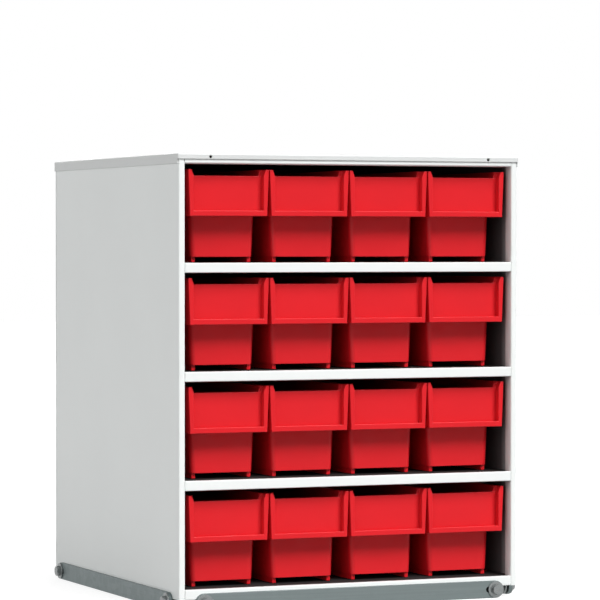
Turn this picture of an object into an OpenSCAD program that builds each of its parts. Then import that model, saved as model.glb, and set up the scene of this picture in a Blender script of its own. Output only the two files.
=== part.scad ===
// Small parts cabinet: a folded sheet steel casing with four tiers of four
// sliding bins, on the flat bars that clamp its lower edge.
// The origin is the middle of the footprint, on the surface it stands on.
// +X is to the right seen from the front, the front faces -Y and +Z is up.

/* [Bins] */
// Width of a bin over its rim
bin_w = 92; // [80:0.5:120]
// Length of a bin
bin_l = 390; // [200:1:500]
// Height of a bin from its runners to its rim
bin_h = 98.5; // [90:0.5:140]
// Width of the bin's body just under its rim
bin_body_w = 80; // [70:0.5:84]
// Width of the bin's body at its runners
bin_foot_w = 70; // [60:0.5:76]
// Wall thickness of a bin
bin_wall = 2; // [1.5:0.1:3]
// Thickness of a bin's floor
bin_floor_t = 2; // [1.5:0.1:3]
// Radius of the upright corners of the bin's body
bin_corner_r = 6; // [4:0.5:9]
// Height of the runners under the floor
runner_h = 6; // [3:0.5:10]
// Width of each runner
runner_w = 4.5; // [3:0.5:8]
// Distance of a runner inside the foot of its side wall
runner_inset = 1; // [0.5:0.5:3]
// Distance of a runner's ends inside the body's front and rear
runner_setback = 3; // [3:0.5:10]
// Height of the turned-down edge of the rim
rim_drop = 5; // [3:0.5:8]
// Thickness of the rim
rim_t = 1.8; // [1.2:0.1:2.5]
// Gap between the rear wall and the rim's turned-down edge
rim_gap = 1; // [0.5:0.1:4]

/* [Label front] */
// Underside of the label front above the runners
label_low = 49; // [40:0.5:60]
// Top edge of the label plate above the runners
label_high = 92; // [75:0.5:96]
// Width of the label front at its lower edge
label_w = 88; // [82:0.5:92]
// Width of the label field between the cheeks
label_field_w = 80; // [70:0.5:82]
// Distance the cheeks stand in front of the label field
label_recess = 7; // [3:0.5:10]
// Width of a cheek at its tip
cheek_tip_w = 3.5; // [2:0.5:4]
// Depth of a cheek from front to back
cheek_d = 14; // [11:0.5:20]
// Height of the lip under the label field
label_lip_h = 6; // [3:0.5:9]
// Thickness of that lip
label_lip_t = 2; // [1.5:0.1:3]
// Distance the lower front is set back for the fingers
grip_d = 20; // [15:0.5:30]

/* [Casing] */
// Thickness of all folded sheet
sheet_t = 1.2; // [0.8:0.1:2]
// Outer radius of the sheet's bends
bend_r = 1.6; // [1:0.1:2.2]
// Width of the side panels' front flanges
flange_w = 7; // [5:0.5:12]
// Depth of the return behind a front flange
flange_return = 14; // [8:0.5:20]
// Width of the side panels' rear flanges
rear_flange_w = 14; // [12:0.5:18]
// Height of the lip on the front of each shelf
lip_h = 10.5; // [8:0.5:16]
// Depth of the flanges turned down along a shelf's sides and rear
shelf_flange_h = 9; // [6:0.5:16]
// Height of the casing's top front rail under the lid's top
rail_h = 11; // [8:0.5:18]
// Depth of the top front rail
rail_d = 22; // [12:0.5:40]
// Height of the lid's skirt at the sides and the rear
skirt_h = 11; // [8:0.5:18]
// Height of the lid's skirt at the front
front_skirt_h = 6; // [6:0.5:9]
// Radius of the lid's upright corners
lid_corner_r = 2; // [1.5:0.1:4]
// Diameter of the two holes in the lid's front skirt
lid_hole_d = 3.6; // [3:0.1:4]
// Depth of those holes' centres below the lid's top
lid_hole_drop = 3.6; // [3.4:0.1:4]
// Distance between those holes
lid_hole_gap = 326; // [200:1:340]

/* [Clearances] */
// Gap between neighbouring bins
bin_gap = 1; // [0.6:0.1:4]
// Gap between the outer bins and the side panels' returns
side_gap = 6.1; // [2:0.1:12]
// Set-back of the bins behind the casing's front
bin_setback = 6; // [0:0.5:12]
// Gap behind the bins
bin_rear_gap = 3.8; // [2:0.1:20]
// Gap over the bins' rims
bin_top_gap = 5.7; // [3:0.1:12]
// Running gap under a bin's runners
seat_gap = 0.3; // [0.2:0.1:0.5]
// Gap between the bolts and the casing's lower edge
bolt_gap = 0.1; // [0.1:0.1:0.5]
// Gap between the lid's skirt and the casing
lid_gap = 0.2; // [0.1:0.1:0.5]

/* [Bars] */
// Height of the clamping bars
bar_h = 19; // [18:0.5:24]
// Thickness of the clamping bars
bar_t = 4; // [3:0.5:6]
// Distance of a bar's bolts from the corners of the casing
bolt_inset = 27.5; // [27:0.5:40]
// Length that a bolt can shift in its slot
slot_travel = 8.5; // [4:0.5:12]
// Play between a bolt and its slot
slot_play = 0.6; // [0.4:0.1:1]
// Bolt diameter
bolt_d = 6; // [5:0.5:6.5]
// Width of the bolt heads and nuts across their flats
hex_af = 10; // [9:0.5:11]
// Height of a bolt head
head_h = 4; // [3:0.5:5]
// Height of a nut
nut_h = 5; // [4:0.5:6]
// Diameter of the wide washers
washer_d = 18; // [16:0.5:18.5]
// Thickness of the wide washers
washer_t = 1.6; // [1:0.1:2]
// Length of bolt that shows past its nut
bolt_end = 1.4; // [0.5:0.1:3]

/* [Rivets] */
// Diameter of the rivets' shanks
rivet_d = 4; // [3:0.1:4.8]
// Diameter of the rivets' heads
rivet_head_d = 8; // [7:0.5:9]
// Diameter of the rivets' set ends
rivet_set_d = 6; // [5:0.5:7]
// Height of the rivets' heads
rivet_head_h = 1.2; // [0.8:0.1:1.5]

/* [Hidden] */
$fn = 48;
// The node list names four tiers of four bins, tier 1 at the top.
tiers = 4;
columns = 4;
eps = 0.5;
// A corner round of a bin is this much larger than its radius, so that it crosses the
// flat walls at a faint crease.
crease = 0.05;

// Two layers of sheet, as in a hemmed edge or a flange inside a panel
double_t = 2 * sheet_t;

// Casing, worked out from the bins and the clearances
bin_pitch = bin_w + bin_gap;
row_w = columns * bin_w + (columns - 1) * bin_gap;
case_w = row_w + 2 * (side_gap + flange_w);
case_d = bin_setback + bin_l + bin_rear_gap + double_t;
case_x = case_w / 2;
case_y = case_d / 2;
lid_w = case_w + 2 * (sheet_t + lid_gap);
lid_d = case_d + 2 * (sheet_t + lid_gap);

// Heights above the surface
case_z = (bar_h + bolt_d) / 2 + bolt_gap;
base_z = case_z + lip_h;
opening_h = seat_gap + bin_h + bin_top_gap;
tier_pitch = opening_h + lip_h;
top_opening_z = base_z + (tiers - 1) * tier_pitch + opening_h;
lid_top_z = top_opening_z + rail_h;
case_top_z = lid_top_z - sheet_t;

// Inside faces of the side panels, their returns and the back panel
inner_x = case_x - sheet_t;
return_x = case_x - flange_w;
shelf_rear_x = case_x - rear_flange_w - seat_gap;
back_y = case_y - sheet_t;

// Bar bolts
bolt_x = case_x - bolt_inset;
bolt_y = case_y - bolt_inset;
bolt_z = bar_h / 2;
bolt_grip = washer_t + bar_t + double_t + washer_t;

// A bin's walls lean outwards from the runners to the rim.
bin_tilt = atan((bin_body_w - bin_foot_w) / 2 / bin_h);
bin_front_y = -case_y + bin_setback;
body_l = bin_l - rim_t - rim_gap;

white = [0.93, 0.93, 0.93];
grey_white = [0.85, 0.86, 0.86];
red = [0.85, 0.16, 0.18];
steel = [0.50, 0.53, 0.53];
zinc = [0.62, 0.64, 0.64];

// Top surface of the shelf that carries a tier
function shelf_z(tier) = base_z + (tiers - tier) * tier_pitch;

// Middle of a column of bins
function column_x(column) = (column - (columns + 1) / 2) * bin_pitch;

// Half width of a bin's body at a height above its runners
function wall_x(z) = bin_foot_w / 2 + z * tan(bin_tilt);

function unit(v) = v / norm(v);

// A flat drawing in x and z, drawn out from y0 to y1
module along_y(y0, y1) {
    translate([0, y1, 0]) rotate([90, 0, 0]) linear_extrude(y1 - y0) children();
}

// A flat drawing in y and z, drawn out from x0 to x1
module along_x(x0, x1) {
    translate([x0, 0, 0]) rotate([90, 0, 90]) linear_extrude(x1 - x0) children();
}

// A flat drawing in x and y, drawn out from z0 to z1
module along_z(z0, z1) {
    translate([0, 0, z0]) linear_extrude(z1 - z0) children();
}

// One straight stretch of a sheet's edge view, from a to b
module sheet_run(a, b) {
    d = unit(b - a);
    n = [-d[1], d[0]] * sheet_t / 2;
    polygon([a + n, b + n, b - n, a - n]);
}

// What comes off the outer corner of a square fold that runs along u and then against v
module bend_cut(corner, u, v) {
    centre = corner - bend_r * (u + v);
    reach = bend_r + eps;
    difference() {
        polygon([centre, centre + reach * u, centre + reach * (u + v), centre + reach * v]);
        translate(centre) circle(r = bend_r);
    }
}

// Edge view of a sheet folded squarely along the points of its middle line
module folded_sheet(p) {
    last = len(p) - 1;
    half = sheet_t / 2;
    difference() {
        for (i = [0 : last - 1]) {
            d = unit(p[i + 1] - p[i]);
            start = i > 0 ? half : 0;
            stop = i < last - 1 ? half : 0;
            sheet_run(p[i] - start * d, p[i + 1] + stop * d);
        }
        for (i = [1 : last - 1]) {
            u = unit(p[i] - p[i - 1]);
            v = unit(p[i] - p[i + 1]);
            bend_cut(p[i] + half * (u + v), u, v);
        }
    }
}

module rounded_rect(w, d, r) {
    square([w - 2 * r, d], center = true);
    square([w, d - 2 * r], center = true);
    for (x = [-1, 1])
        for (y = [-1, 1])
            translate([x * (w / 2 - r), y * (d / 2 - r)]) circle(r = r);
}

// Side panel: wall, front flange with its return, and rear flange
module side_panel() {
    half = sheet_t / 2;
    difference() {
        along_z(case_z, case_top_z)
            folded_sheet([
                [-return_x - half, -case_y + flange_return],
                [-return_x - half, -case_y + half],
                [-case_x + half, -case_y + half],
                [-case_x + half, back_y - half],
                [-case_x + rear_flange_w, back_y - half]
            ]);
        rivet_holes();
    }
}

module left_side_panel() {
    color(grey_white) side_panel();
}

module right_side_panel() {
    color(grey_white) mirror([1, 0, 0]) side_panel();
}

module back_panel() {
    color(grey_white) difference() {
        translate([-case_x, back_y, case_z]) cube([case_w, sheet_t, case_top_z - case_z]);
        rivet_holes();
    }
}

// Lid: a flat cap with a skirt that is shorter at the front
module top_lid() {
    skirt_z = lid_top_z - skirt_h;
    inner_w = lid_w - 2 * sheet_t;
    inner_d = lid_d - 2 * sheet_t;
    color(grey_white) difference() {
        along_z(skirt_z, lid_top_z) rounded_rect(lid_w, lid_d, lid_corner_r);
        translate([-inner_w / 2, -inner_d / 2, skirt_z - eps])
            cube([inner_w, inner_d, skirt_h - sheet_t + eps]);
        translate([-inner_w / 2, -lid_d / 2 - eps, skirt_z - eps])
            cube([inner_w, 2 * eps + sheet_t, skirt_h - front_skirt_h + eps]);
        lid_holes();
    }
}

// The two holes in the lid's front skirt, which go on through the rail behind it
module lid_holes() {
    for (side = [-1, 1])
        translate([side * lid_hole_gap / 2, -lid_d / 2 + 2 * sheet_t, lid_top_z - lid_hole_drop])
            rotate([90, 0, 0]) cylinder(d = lid_hole_d, h = 6 * sheet_t, center = true);
}

// Rail over the top tier, between the side panels' front flanges
module top_front_rail() {
    half = sheet_t / 2;
    low = top_opening_z + half;
    high = case_top_z - half;
    color(white) difference() {
        along_x(-return_x, return_x)
            folded_sheet([
                [-case_y + rail_d, high],
                [-case_y + half, high],
                [-case_y + half, low],
                [-case_y + rail_d, low]
            ]);
        lid_holes();
    }
}

// Outline of a shelf, cut back round the side panels' returns and rear flanges
module shelf_outline() {
    notch_y = -case_y + flange_return + seat_gap;
    seat_y = back_y - sheet_t - seat_gap;
    half = [
        [return_x, -case_y],
        [return_x, notch_y],
        [inner_x, notch_y],
        [inner_x, seat_y],
        [shelf_rear_x, seat_y],
        [shelf_rear_x, back_y]
    ];
    last = len(half) - 1;
    polygon(concat(half, [for (i = [last : -1 : 0]) [-half[i][0], half[i][1]]]));
}

// A shelf with its top at z, its hemmed front lip and its side and rear flanges
module shelf(z, flange_h) {
    side_y = -case_y + flange_return + seat_gap;
    side_d = back_y - sheet_t - seat_gap - side_y;
    along_z(z - sheet_t, z) shelf_outline();
    translate([-return_x, -case_y, z - lip_h]) cube([2 * return_x, double_t, lip_h]);
    for (x = [-inner_x, inner_x - sheet_t])
        translate([x, side_y, z - flange_h]) cube([sheet_t, side_d, flange_h]);
    translate([-shelf_rear_x, back_y - sheet_t, z - flange_h]) cube([2 * shelf_rear_x, sheet_t, flange_h]);
}

module shelf_1() {
    color(white) shelf(shelf_z(1), shelf_flange_h);
}

module shelf_2() {
    color(white) shelf(shelf_z(2), shelf_flange_h);
}

module shelf_3() {
    color(white) shelf(shelf_z(3), shelf_flange_h);
}

module base_panel() {
    color(white) shelf(base_z, lip_h);
}

// A clamping bar along x, in front of the plane y = 0, with a slot at each bolt
module bar(half_span) {
    difference() {
        along_y(-bar_t, 0) {
            translate([-half_span, 0]) square([2 * half_span, bar_h]);
            for (side = [-1, 1])
                translate([side * half_span, bar_h / 2]) circle(d = bar_h);
        }
        for (side = [-1, 1])
            along_y(-bar_t - eps, eps) {
                for (shift = [0, slot_travel])
                    translate([side * (half_span - shift), bolt_z]) circle(d = bolt_d + slot_play);
                translate([side * (half_span - slot_travel / 2), bolt_z])
                    square([slot_travel, bolt_d + slot_play], center = true);
            }
    }
}

// Puts what is drawn for the front on the face that looks along the given turn
module on_face(turn, distance) {
    rotate([0, 0, turn]) translate([0, -distance, 0]) children();
}

module front_bar() {
    color(steel) on_face(0, case_y) bar(bolt_x);
}

module right_bar() {
    color(steel) on_face(90, case_x) bar(bolt_y);
}

module rear_bar() {
    color(steel) on_face(180, case_y) bar(bolt_x);
}

module left_bar() {
    color(steel) on_face(270, case_x) bar(bolt_y);
}

// What is drawn along +z goes inwards from the outside of each bar, at each bolt.
module bolt_places(depth) {
    for (turn = [0, 180])
        for (side = [-1, 1])
            on_face(turn, case_y) translate([side * bolt_x, depth - bar_t, bolt_z])
                rotate([-90, 0, 0]) children();
    for (turn = [90, 270])
        for (side = [-1, 1])
            on_face(turn, case_x) translate([side * bolt_y, depth - bar_t, bolt_z])
                rotate([-90, 0, 0]) children();
}

module bar_bolts() {
    color(zinc) bolt_places(-washer_t) {
        translate([0, 0, -head_h]) cylinder(d = hex_af / cos(30), h = head_h, $fn = 6);
        cylinder(d = bolt_d, h = bolt_grip + nut_h + bolt_end);
    }
}

module washer() {
    difference() {
        cylinder(d = washer_d, h = washer_t);
        translate([0, 0, -eps]) cylinder(d = bolt_d + slot_play, h = washer_t + 2 * eps);
    }
}

module bar_outer_washers() {
    color(zinc) bolt_places(-washer_t) washer();
}

module bar_inner_washers() {
    color(zinc) bolt_places(bar_t + double_t) washer();
}

module bar_nuts() {
    color(zinc) bolt_places(bar_t + double_t + washer_t) difference() {
        cylinder(d = hex_af / cos(30), h = nut_h, $fn = 6);
        translate([0, 0, -eps]) cylinder(d = bolt_d, h = nut_h + 2 * eps);
    }
}

// The rivets' places, at the middle of each tier on both rear flanges
module rivet_places() {
    rivet_x = case_x - rear_flange_w + rivet_head_d / 2;
    for (side = [-1, 1])
        for (tier = [1 : tiers])
            translate([side * rivet_x, back_y, shelf_z(tier) + opening_h / 2])
                rotate([-90, 0, 0]) children();
}

module rivet_holes() {
    rivet_places() cylinder(d = rivet_d, h = 4 * sheet_t, center = true);
}

// A head outside the back panel, a shank through both sheets and a set end
module back_panel_rivets() {
    color(zinc) rivet_places() {
        translate([0, 0, sheet_t]) cylinder(d = rivet_head_d, h = rivet_head_h);
        translate([0, 0, -sheet_t]) cylinder(d = rivet_d, h = double_t);
        translate([0, 0, -sheet_t - rivet_head_h]) cylinder(d = rivet_set_d, h = rivet_head_h);
    }
}

// The form of a bin's body, or of its inside when drawn in by inset and up by rise.
// It leans outwards upwards and is set back for the fingers under the label front.
module body_form(inset, rise, top_z) {
    front_y = label_recess + inset;
    grip_y = grip_d + inset;
    rear_y = body_l - inset;
    low_z = runner_h + rise;
    ledge_z = label_low + rise;
    r = bin_corner_r - inset;
    difference() {
        along_y(front_y, rear_y)
            polygon([
                [-wall_x(low_z) + inset, low_z],
                [wall_x(low_z) - inset, low_z],
                [wall_x(top_z) - inset, top_z],
                [-wall_x(top_z) + inset, top_z]
            ]);
        translate([-bin_w / 2, front_y - eps, 0]) cube([bin_w, grip_y - front_y + eps, ledge_z]);
        for (side = [-1, 1]) {
            corner_cut(side, inset, rear_y, -1, r);
            intersection() {
                corner_cut(side, inset, grip_y, 1, r);
                translate([-bin_w / 2, 0, 0]) cube([bin_w, grip_y + bin_corner_r, ledge_z]);
            }
        }
    }
}

// What comes off a sharp upright corner of the body, along the lean of its wall
module corner_cut(side, inset, y, inward, r) {
    translate([side * (bin_foot_w / 2 - inset), y, 0])
        rotate([0, side * bin_tilt, 0])
            translate([-side * r, inward * r, -bin_h / 2])
                difference() {
                    translate([side > 0 ? 0 : -r - eps, inward > 0 ? -r - eps : 0, 0])
                        cube([r + eps, r + eps, 2 * bin_h]);
                    cylinder(r = r + crease, h = 2 * bin_h);
                }
}

// One cheek beside the label field, wider at its top like the rim behind it
module cheek(side) {
    field_x = side * label_field_w / 2;
    low_x = side * label_w / 2;
    top_x = side * bin_w / 2;
    tip_x = side * (bin_w / 2 - cheek_tip_w);
    along_y(0, label_recess)
        polygon([
            [field_x, label_low],
            [low_x, label_low],
            [top_x, bin_h],
            [tip_x, bin_h],
            [field_x, label_high]
        ]);
    along_y(label_recess - eps, cheek_d)
        polygon([
            [side * (wall_x(label_low) - bin_wall / 2), label_low],
            [low_x, label_low],
            [top_x, bin_h],
            [side * (wall_x(bin_h) - bin_wall / 2), bin_h]
        ]);
}

// Edge view of the rim on the right side wall
module rim_side() {
    wall_in = wall_x(bin_h) - bin_wall / 2;
    translate([wall_in, bin_h - rim_t]) square([bin_w / 2 - wall_in, rim_t]);
    translate([bin_w / 2 - rim_t, bin_h - rim_drop]) square([rim_t, rim_drop]);
}

module bin() {
    difference() {
        union() {
            body_form(0, 0, bin_h);
            // Label plate out to the cheeks, the ledge under it and its lip
            translate([-label_field_w / 2 - eps, label_recess, label_low])
                cube([label_field_w + 2 * eps, bin_wall, label_high - label_low]);
            translate([-label_w / 2 + eps, 0, label_low])
                cube([label_w - 2 * eps, label_recess + eps, bin_floor_t]);
            translate([-label_w / 2 + eps, 0, label_low])
                cube([label_w - 2 * eps, label_lip_t, label_lip_h]);
        }
        body_form(bin_wall, bin_floor_t, bin_h + eps);
        // Front wall over the label plate
        translate([-label_field_w / 2, label_recess - eps, label_high])
            cube([label_field_w, bin_wall + 2 * eps, bin_h]);
    }
    for (side = [-1, 1]) {
        cheek(side);
        translate([side * (bin_foot_w / 2 - runner_inset - runner_w / 2), 0, 0])
            along_y(grip_d + runner_setback, body_l - runner_setback)
                translate([-runner_w / 2, 0]) square([runner_w, runner_h + eps]);
    }
    along_y(cheek_d - eps, bin_l) {
        rim_side();
        mirror([1, 0]) rim_side();
    }
    translate([-bin_w / 2, body_l - bin_wall / 2, bin_h - rim_t])
        cube([bin_w, bin_l - body_l + bin_wall / 2, rim_t]);
    translate([-bin_w / 2, bin_l - rim_t, bin_h - rim_drop]) cube([bin_w, rim_t, rim_drop]);
}

module bin_at(tier, column) {
    color(red) translate([column_x(column), bin_front_y, shelf_z(tier) + seat_gap]) bin();
}

left_side_panel();
right_side_panel();
back_panel();
top_lid();
top_front_rail();
shelf_1();
shelf_2();
shelf_3();
base_panel();
front_bar();
rear_bar();
left_bar();
right_bar();
bar_bolts();
bar_outer_washers();
bar_inner_washers();
bar_nuts();
back_panel_rivets();
for (tier = [1 : tiers])
    for (column = [1 : columns])
        bin_at(tier, column);
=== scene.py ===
"""Looks of a small parts cabinet: white folded sheet, red moulded bins and zinc-plated bars.

Sizes are in millimetres and become metres when a mesh is written. Where a piece lies comes
from the frame's nodes. Each sub-assembly is a class that makes its own meshes.
"""
import logging
import math
from dataclasses import dataclass
from enum import Enum
from functools import cache
from typing import Iterable

import bmesh
import bpy
import numpy as np
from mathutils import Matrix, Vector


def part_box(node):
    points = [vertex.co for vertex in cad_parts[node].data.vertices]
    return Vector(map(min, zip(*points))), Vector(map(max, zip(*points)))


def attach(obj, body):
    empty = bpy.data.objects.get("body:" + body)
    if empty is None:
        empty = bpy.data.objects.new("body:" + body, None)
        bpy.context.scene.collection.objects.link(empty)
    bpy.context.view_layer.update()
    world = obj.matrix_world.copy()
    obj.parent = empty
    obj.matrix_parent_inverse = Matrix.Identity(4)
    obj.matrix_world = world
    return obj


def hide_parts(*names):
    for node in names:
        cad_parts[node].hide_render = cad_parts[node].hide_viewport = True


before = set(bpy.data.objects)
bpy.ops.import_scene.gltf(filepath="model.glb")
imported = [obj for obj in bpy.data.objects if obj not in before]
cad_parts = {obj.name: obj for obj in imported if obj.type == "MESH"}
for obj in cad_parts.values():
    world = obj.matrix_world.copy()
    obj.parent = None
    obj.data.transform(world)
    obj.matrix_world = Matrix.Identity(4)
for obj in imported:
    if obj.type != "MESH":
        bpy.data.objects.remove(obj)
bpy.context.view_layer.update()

Pair = tuple[float, float]
Triple = tuple[float, float, float]
Socket = bpy.types.NodeSocket
# A flat ring and its height, which is one number or one for each point
Level = tuple[np.ndarray, "float | np.ndarray"]

LOG = logging.getLogger("cabinet")
CASING = "casing"
MM = 0.001
MERGE_MM = 0.0005
SMOOTH_BELOW = math.radians(32)
LARGE_FACES_LEAD = 100
WHITE = (1.0, 1.0, 1.0, 1.0)
# Each bar's quarter turns from the front, its node and the axis that it runs along
BARS = ((0, "front_bar", 0), (1, "right_bar", 1), (2, "rear_bar", 0), (3, "left_bar", 1))


class Along(Enum):
    """The axis that a flat outline is carried along, with where its two coordinates go."""

    X = (1, 2, 0)
    Y = (0, 2, 1)
    Z = (0, 1, 2)


# Forms: closed surfaces in millimetres


@dataclass
class Form:
    """Closed surfaces as arrays.

    Args:
        points: n by 3 places in millimetres.
        corners: the faces' point numbers, one face after another.
        counts: how many corners each face has.
    """

    points: np.ndarray
    corners: np.ndarray
    counts: np.ndarray

    def moved(self, x: float = 0.0, y: float = 0.0, z: float = 0.0) -> "Form":
        """The same form shifted by x, y and z."""
        return Form(self.points + np.array([x, y, z]), self.corners, self.counts)

    def mirrored(self) -> "Form":
        """The form seen in a mirror at x = 0, with its faces turned the right way out."""
        return Form(self.points * np.array([-1.0, 1.0, 1.0]), self.corners[::-1], self.counts[::-1])

    def turned(self, quarters: int) -> "Form":
        """Turns the form about the z axis.

        Args:
            quarters: the number of quarter turns.

        Returns:
            The turned form.
        """
        c, s = ((1, 0), (0, 1), (-1, 0), (0, -1))[quarters % 4]
        matrix = np.array([[c, s, 0], [-s, c, 0], [0, 0, 1]], float)
        return Form(self.points @ matrix, self.corners, self.counts)

    def volume(self) -> float:
        """Adds up the signed cones from the origin to each face's fan.

        Returns:
            The volume inside, which is below 0 if the faces point inwards.
        """
        starts = np.cumsum(self.counts) - self.counts
        following = np.roll(self.corners, -1)
        following[starts + self.counts - 1] = self.corners[starts]
        a = self.points[np.repeat(self.corners[starts], self.counts)]
        cones = a * np.cross(self.points[self.corners], self.points[following])
        return float(cones.sum() / 6)


def joined(forms: Iterable[Form]) -> Form:
    """Puts several forms into one.

    Args:
        forms: the forms, which may be any number.

    Returns:
        One form that holds all their surfaces.
    """
    parts = list(forms)
    sizes = np.array([len(p.points) for p in parts])
    shifts = np.cumsum(sizes) - sizes
    corners = np.concatenate([p.corners + s for p, s in zip(parts, shifts)])
    points = np.concatenate([p.points for p in parts])
    return Form(points, corners, np.concatenate([p.counts for p in parts]))


def loft(rings: np.ndarray, ring_closes: bool = False) -> Form:
    """Joins a row of closed rings into a surface.

    The grid's point (i, j) is point j of ring i, and each of its cells is one face. The first
    and last rings are filled, unless the row of rings closes on itself.

    Args:
        rings: m rings by n points by 3.
        ring_closes: True if the last ring joins the first.

    Returns:
        The closed form.
    """
    m, n = rings.shape[:2]
    i = np.arange(m if ring_closes else m - 1)[:, None]
    j = np.arange(n)[None, :]
    ahead = (i + 1) % m
    beside = (j + 1) % n
    quads = np.stack([i * n + j, i * n + beside, ahead * n + beside, ahead * n + j], axis=-1)
    corners = quads.reshape(-1)
    counts = np.full(quads.size // 4, 4)
    if not ring_closes:
        first = np.arange(n)[::-1]
        last = (m - 1) * n + np.arange(n)
        corners = np.concatenate([corners, first, last])
        counts = np.concatenate([counts, [n, n]])
    return Form(rings.reshape(-1, 3).astype(float), corners, counts)


def prism(outline: np.ndarray, start: float, stop: float, along: Along) -> Form:
    """Carries a flat closed outline straight from start to stop.

    Args:
        outline: n by 2 places.
        start: place of the first end on the axis.
        stop: place of the other end.
        along: the axis.

    Returns:
        The closed form.
    """
    *flat, axis = along.value
    rings = np.zeros((2, len(outline), 3))
    rings[:, :, flat] = outline
    rings[:, :, axis] = [[start], [stop]]
    return loft(rings)


def block(low: Triple, high: Triple) -> Form:
    """A box from its low corner to its high corner."""
    outline = np.array([[low[0], low[1]], [high[0], low[1]], [high[0], high[1]], [low[0], high[1]]])
    return prism(outline, low[2], high[2], Along.Z)


def mesh_of(form: Form, name: str, scale: float = 1.0) -> bpy.types.Mesh:
    """Writes a form into a Blender mesh, with its faces pointing outwards.

    Args:
        form: the closed surfaces.
        name: the mesh's name.
        scale: what its millimetres are multiplied by.

    Returns:
        The mesh.
    """
    mesh = bpy.data.meshes.new(name)
    mesh.vertices.add(len(form.points))
    mesh.vertices.foreach_set("co", (form.points * scale).astype(np.float32).ravel())
    mesh.loops.add(len(form.corners))
    mesh.loops.foreach_set("vertex_index", form.corners.astype(np.int32))
    mesh.polygons.add(len(form.counts))
    starts = np.cumsum(form.counts) - form.counts
    mesh.polygons.foreach_set("loop_start", starts.astype(np.int32))
    mesh.update(calc_edges=True)
    if form.volume() < 0:
        mesh.flip_normals()
    return mesh


def form_of(mesh: bpy.types.Mesh) -> Form:
    """Reads a mesh back into a form and removes the mesh.

    Args:
        mesh: the mesh.

    Returns:
        The form.
    """
    points = np.zeros(len(mesh.vertices) * 3, np.float32)
    mesh.vertices.foreach_get("co", points)
    corners = np.zeros(len(mesh.loops), np.int32)
    mesh.loops.foreach_get("vertex_index", corners)
    counts = np.zeros(len(mesh.polygons), np.int32)
    mesh.polygons.foreach_get("loop_total", counts)
    bpy.data.meshes.remove(mesh)
    return Form(points.reshape(-1, 3).astype(float), corners.astype(int), counts.astype(int))


def rounded(form: Form, radius: float, segments: int = 2, over: float = 40.0) -> Form:
    """Rounds the sharp edges of a closed form.

    Args:
        form: the form.
        radius: radius of the rounds, in millimetres.
        segments: flats in each round.
        over: edges that turn by more than this many degrees are rounded.

    Returns:
        The rounded form.
    """
    mesh = mesh_of(form, "blank")
    work = bmesh.new()
    work.from_mesh(mesh)
    bmesh.ops.remove_doubles(work, verts=work.verts, dist=MERGE_MM)
    bmesh.ops.dissolve_degenerate(work, edges=work.edges, dist=MERGE_MM)
    limit = math.radians(over)
    sharp = [e for e in work.edges if len(e.link_faces) == 2 and e.calc_face_angle(0.0) > limit]
    bmesh.ops.bevel(work, geom=sharp, offset=radius, segments=segments, profile=0.5,
                    affect="EDGES", clamp_overlap=True)
    work.to_mesh(mesh)
    work.free()
    return form_of(mesh)


def placed(name: str, data: bpy.types.ID, spot: Triple = (0.0, 0.0, 0.0),
           turn: Triple = (0.0, 0.0, 0.0)) -> bpy.types.Object:
    """Links a new object into the scene.

    Args:
        name: its name.
        data: its mesh, lamp or camera.
        spot: its place in metres.
        turn: its turn in radians.

    Returns:
        The object.
    """
    obj = bpy.data.objects.new(name, data)
    obj.location = spot
    obj.rotation_euler = turn
    bpy.context.scene.collection.objects.link(obj)
    return obj


def cut_out(form: Form, tools: Iterable[Form]) -> Form:
    """Cuts tools out of a form, as solids.

    Args:
        form: the form that is worked on.
        tools: what is cut out.

    Returns:
        The form that is left.
    """
    base = placed("blank", mesh_of(form, "blank"))
    cutters = [placed("tool", mesh_of(tool, "tool")) for tool in tools]
    for cutter in cutters:
        step = base.modifiers.new("cut", "BOOLEAN")
        step.operation = "DIFFERENCE"
        step.solver = "EXACT"
        step.object = cutter
    graph = bpy.context.evaluated_depsgraph_get()
    result = form_of(bpy.data.meshes.new_from_object(base.evaluated_get(graph)))
    for thing in [base, *cutters]:
        mesh = thing.data
        bpy.data.objects.remove(thing)
        bpy.data.meshes.remove(mesh)
    return result


# Outlines and contours


def arc(centre: Pair, radius: float, start: float, stop: float, steps: int) -> np.ndarray:
    """Points along a circle's arc, from start to stop in degrees, both ends included."""
    angle = np.radians(np.linspace(start, stop, steps + 1))
    return np.stack([centre[0] + radius * np.cos(angle), centre[1] + radius * np.sin(angle)], axis=1)


def both_sides(edge: np.ndarray) -> np.ndarray:
    """An edge on the right and then its mirror image on the left, from its end to its start."""
    return np.concatenate([edge, edge[::-1] * [-1, 1]])


def stacked(rings: list[Level]) -> np.ndarray:
    """Sets flat rings at their heights."""
    return np.stack([np.column_stack([ring, np.broadcast_to(z, len(ring))]) for ring, z in rings])


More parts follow.
